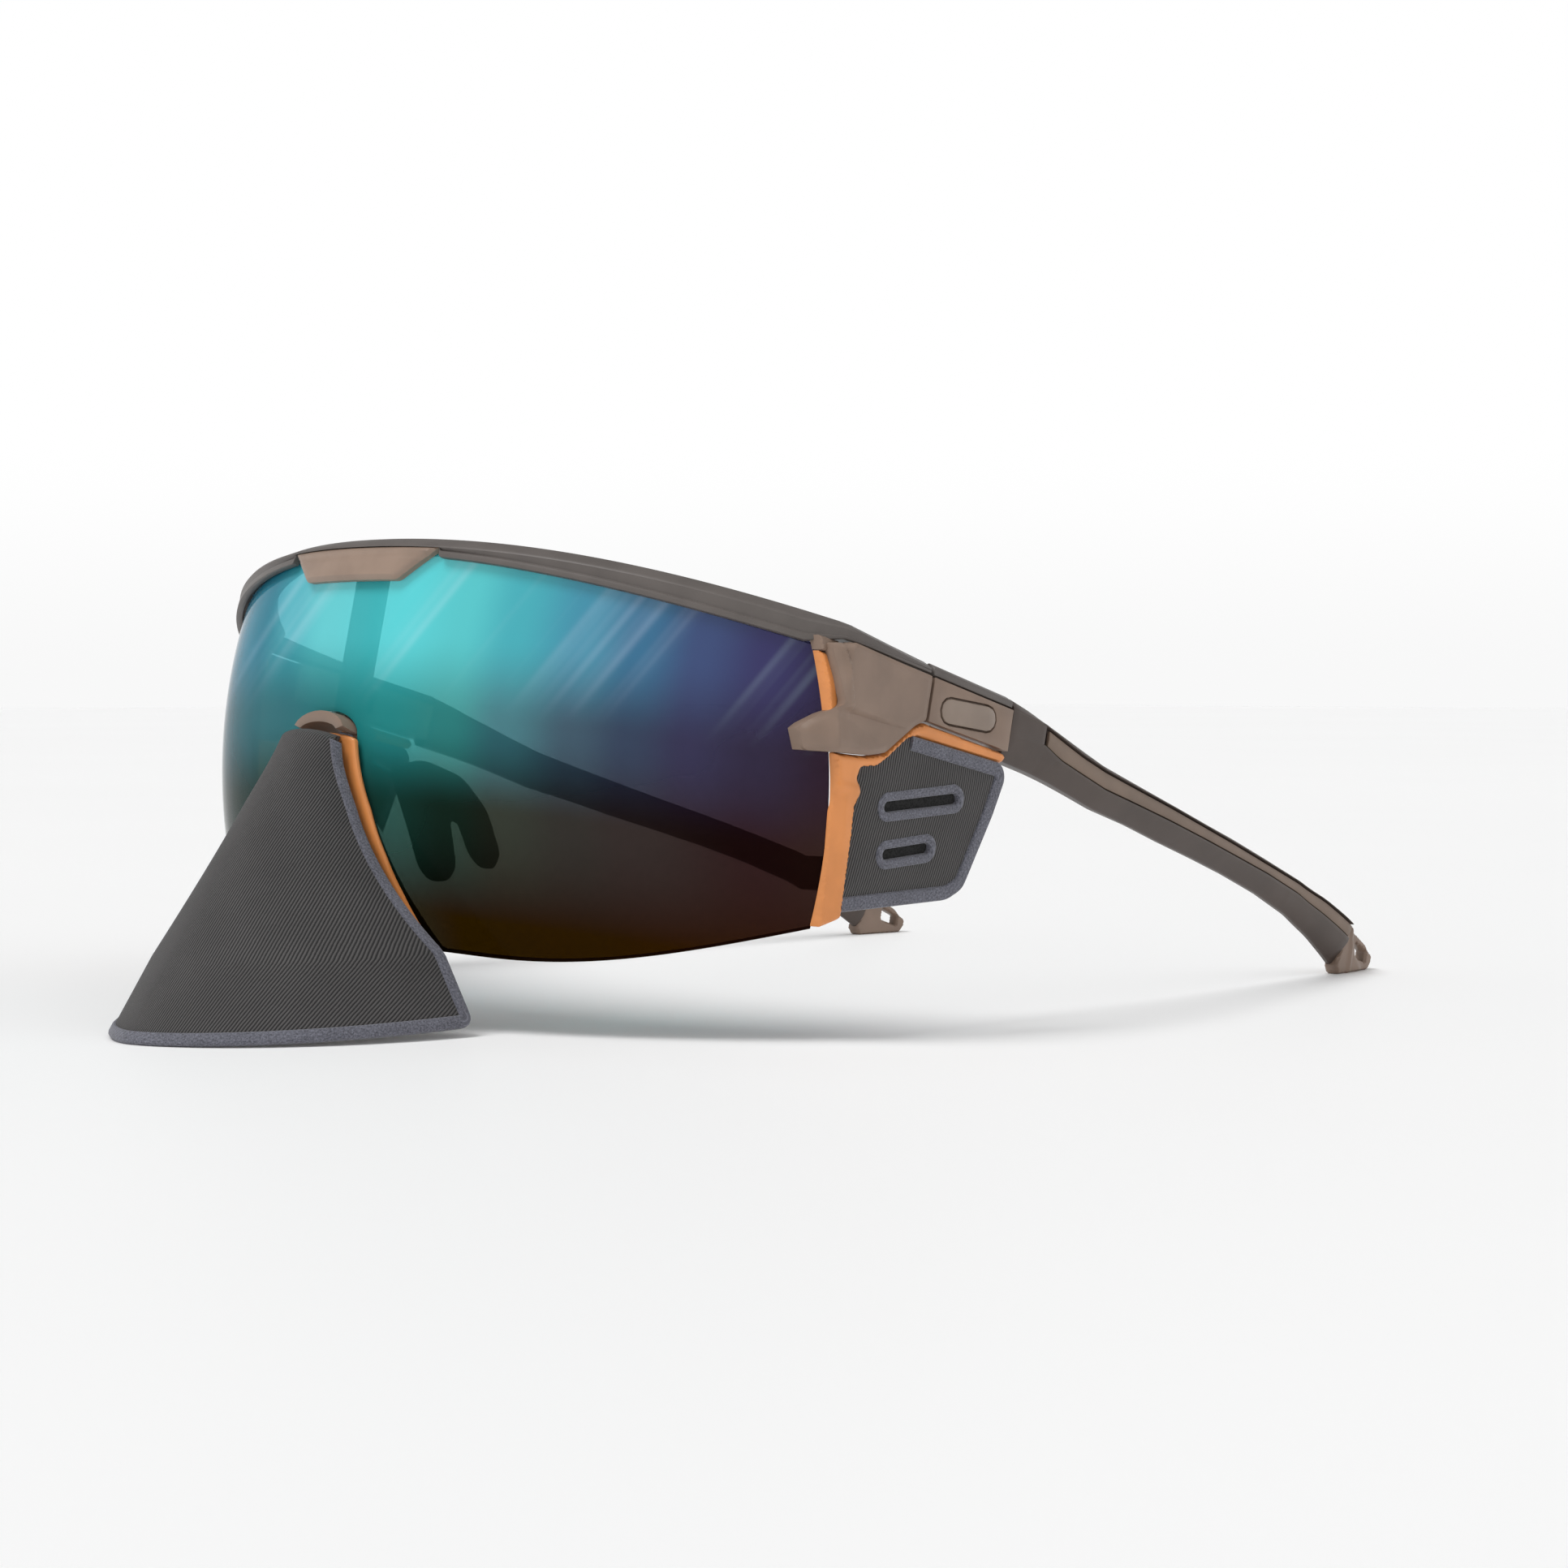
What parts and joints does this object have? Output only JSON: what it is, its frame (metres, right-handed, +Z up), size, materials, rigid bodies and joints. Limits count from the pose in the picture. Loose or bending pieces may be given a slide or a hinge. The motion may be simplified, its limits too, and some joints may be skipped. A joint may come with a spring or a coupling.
{
  "type": "glacier glasses",
  "caption": "Wraparound sunglasses for snow: shield lens under a brow bar, folding temples, and removable nose and side shields of woven fabric.",
  "frame": {"origin": "on the table under the middle of the object's box, as it stands on its nose shield and temple tips", "axes": "+Z up, +X to the wearer's left, -Y towards the front of the lens"},
  "size_m": [0.137, 0.206, 0.0682],
  "materials": {
    "bar": "satin",
    "insert": "satin",
    "lens": "mirror coated",
    "taupe": "satin",
    "badge": "satin",
    "arm": "satin",
    "inlay": "satin",
    "orange": "satin",
    "fabric": "woven",
    "binding": "heathered",
    "pad": "matt",
    "steel": "bright"
  },
  "bodies": {
    "front": {"brow_bar": "bar", "brow_insert": "insert", "lens": "lens", "nose_bridge": "taupe", "end_piece_left": "taupe", "end_piece_right": "taupe", "hinge_pin_left": "steel", "hinge_pin_right": "steel", "lens_clip_left": "orange", "lens_clip_right": "orange"},
    "temple_left": {"temple_front_left": "taupe", "temple_strip_left": "bar", "temple_badge_left": "badge", "temple_arm_left": "arm", "arm_inlay_left": "inlay", "temple_tip_left": "taupe"},
    "temple_right": {"temple_front_right": "taupe", "temple_strip_right": "bar", "temple_badge_right": "badge", "temple_arm_right": "arm", "arm_inlay_right": "inlay", "temple_tip_right": "taupe"},
    "pad_left": {"nose_pad_left": "pad", "nose_pad_core_left": "steel"},
    "pad_right": {"nose_pad_right": "pad", "nose_pad_core_right": "steel"},
    "nose_shield": {"nose_frame": "orange", "nose_fabric": "fabric", "nose_binding": "binding"},
    "side_shield_left": {"side_frame_left": "orange", "side_fabric_left": "fabric", "side_binding_left": "binding", "slot_ring_upper_left": "binding", "slot_ring_lower_left": "binding"},
    "side_shield_right": {"side_frame_right": "orange", "side_fabric_right": "fabric", "side_binding_right": "binding", "slot_ring_upper_right": "binding", "slot_ring_lower_right": "binding"}
  },
  "joints": [
    {"name": "temple_hinge_left", "type": "hinge", "parent": "front", "child": "temple_left", "pos_m": [0.0654, -0.01643, 0.04524], "axis": [0, 0.2189, 0.9758], "range_deg": [0, 90]},
    {"name": "temple_hinge_right", "type": "hinge", "parent": "front", "child": "temple_right", "pos_m": [-0.0654, -0.01643, 0.04524], "axis": [0, -0.2189, -0.9758], "range_deg": [0, 82]},
    {"name": "pad_bend_left", "type": "hinge", "parent": "front", "child": "pad_left", "pos_m": [0.0053, -0.06588, 0.03686], "axis": [0, 0.9758, -0.2189], "range_deg": [-8, 8]},
    {"name": "pad_bend_right", "type": "hinge", "parent": "front", "child": "pad_right", "pos_m": [-0.0053, -0.06588, 0.03686], "axis": [0, -0.9758, 0.2189], "range_deg": [-8, 8]},
    {"name": "nose_shield_unclip", "type": "slide", "parent": "front", "child": "nose_shield", "axis": [0, -0.9758, 0.2189], "range_m": [0, 0.03]},
    {"name": "side_shield_unclip_left", "type": "slide", "parent": "front", "child": "side_shield_left", "axis": [1, 0, 0], "range_m": [0, 0.03]},
    {"name": "side_shield_unclip_right", "type": "slide", "parent": "front", "child": "side_shield_right", "axis": [-1, 0, 0], "range_m": [0, 0.03]}
  ]
}
